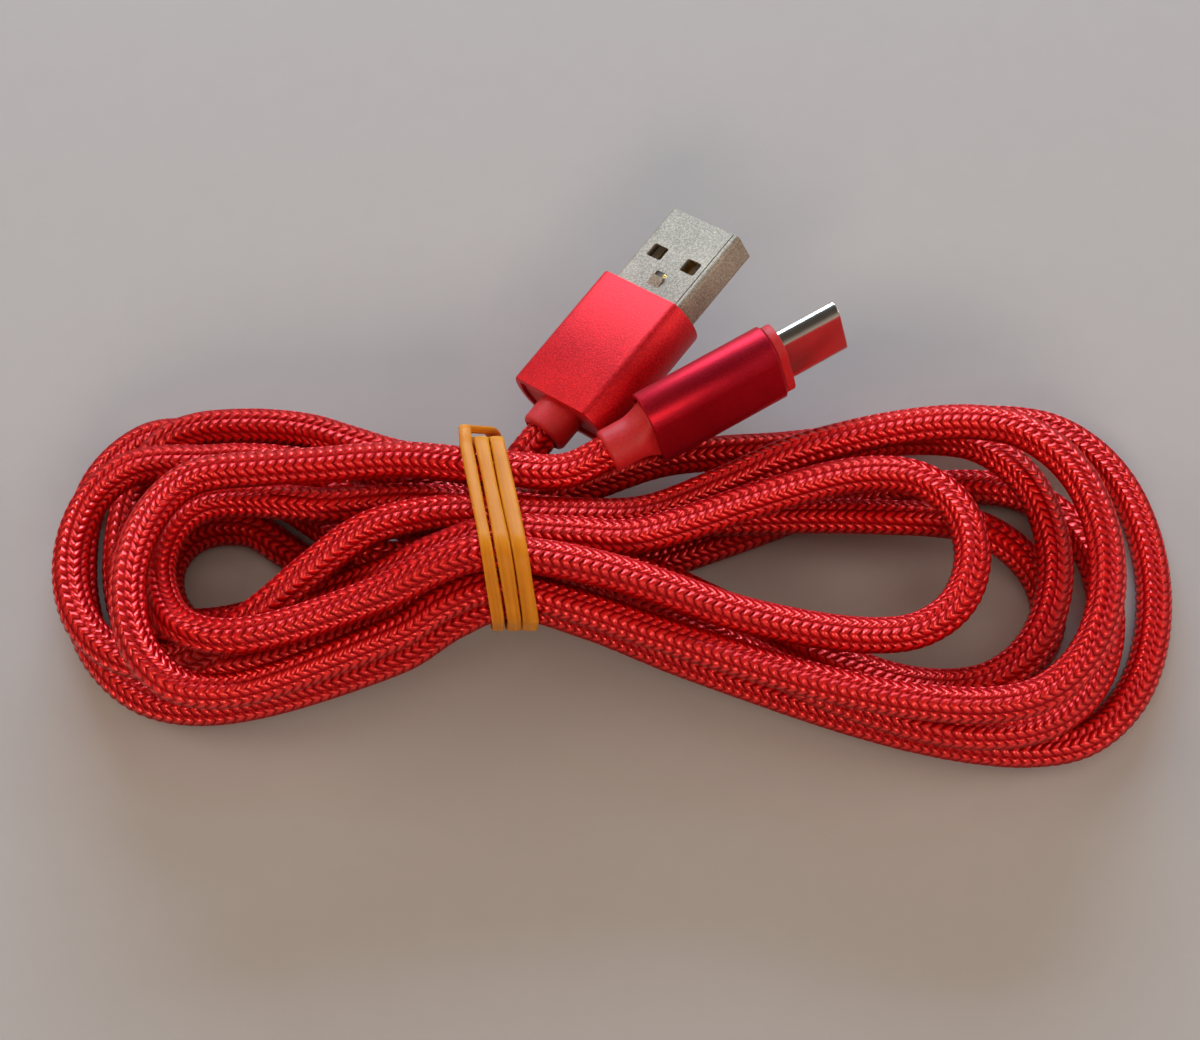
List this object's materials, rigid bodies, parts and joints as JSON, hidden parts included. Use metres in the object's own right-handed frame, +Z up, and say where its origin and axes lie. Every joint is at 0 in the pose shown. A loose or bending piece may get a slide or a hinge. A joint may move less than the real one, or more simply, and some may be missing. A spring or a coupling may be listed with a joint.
{
  "type": "charging cable",
  "caption": "Braided charging cable with a USB-A and a USB-C plug, wound into a flat bow-shaped hank and held at its waist by a rubber band.",
  "frame": {"origin": "on the ground, under the middle of the box round the whole object", "axes": "+X along the hank, to the side of the plugs; +Y across it, to the side where the USB-A plug points; +Z up from the ground"},
  "size_m": [0.1412, 0.0728, 0.0246],
  "materials": {
    "braid": "shiny braided nylon sleeve",
    "band": "translucent amber, satin",
    "steel": "satin nickel plating",
    "housing": "bead-blasted and anodised",
    "relief": "matte moulded elastomer",
    "insulator": "matte",
    "core": "matte moulded",
    "contact": "gold plated",
    "spring": "bright rolled",
    "board": "lacquered",
    "chip": "matte",
    "wire": "smooth insulation",
    "jacket": "smooth",
    "ferrule": "pressed"
  },
  "bodies": {
    "root": {"cord_hank": "braid", "cord_lead_a": "braid", "cord_lead_c": "braid", "rubber_band": "band", "a_shell": "steel", "a_tongue": "insulator", "a_contact_supply": "contact", "a_contact_data_minus": "contact", "a_contact_data_plus": "contact", "a_contact_ground": "contact", "a_core": "core", "a_wires": "wire", "a_ferrule": "ferrule", "a_cord_end": "jacket", "a_housing": "housing", "a_relief": "relief", "c_shell": "steel", "c_insulator": "insulator", "c_contacts_upper": "contact", "c_contacts_lower": "contact", "c_latch": "spring", "c_collar": "relief", "c_housing": "housing", "c_core": "core", "c_board": "board", "c_chip": "chip", "c_resistor": "chip", "c_wires": "wire", "c_ferrule": "ferrule", "c_cord_end": "jacket", "c_relief": "relief"}
  },
  "joints": []
}
